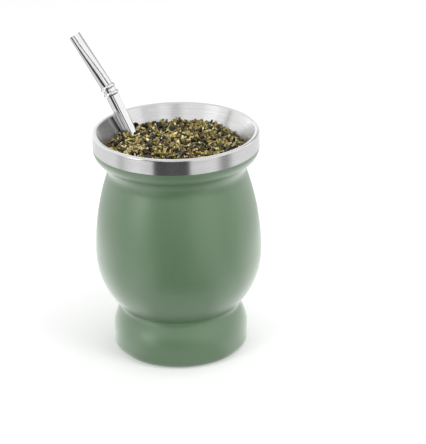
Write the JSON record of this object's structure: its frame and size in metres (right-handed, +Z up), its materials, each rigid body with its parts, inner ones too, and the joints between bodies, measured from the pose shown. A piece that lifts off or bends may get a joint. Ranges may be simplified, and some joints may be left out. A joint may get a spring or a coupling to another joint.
{
  "type": "mate cup with bombilla",
  "caption": "Waisted double-walled steel mate cup with a bare rim band, heaped with dry leaf, and a bent metal drinking straw standing in it.",
  "frame": {"origin": "centre of the flat base that the cup stands on, on the cup's axis", "axes": "+Z up along the cup's axis; -Y is the front; the bombilla leans to -X and a little to +Y"},
  "size_m": [0.0912, 0.0808, 0.1515],
  "materials": {
    "painted_shell": "satin powder coat, sage green",
    "brushed_liner": "satin, brushed round the cup",
    "polished_straw": "polished stainless steel",
    "leaf": "dry cut leaf and stalk, dull"
  },
  "bodies": {
    "root": {"outer_shell": "painted_shell", "steel_liner": "brushed_liner", "bombilla_tube": "polished_straw", "bombilla_ring_lower": "polished_straw", "bombilla_ring_upper": "polished_straw", "leaf_heap": "leaf"}
  },
  "joints": []
}
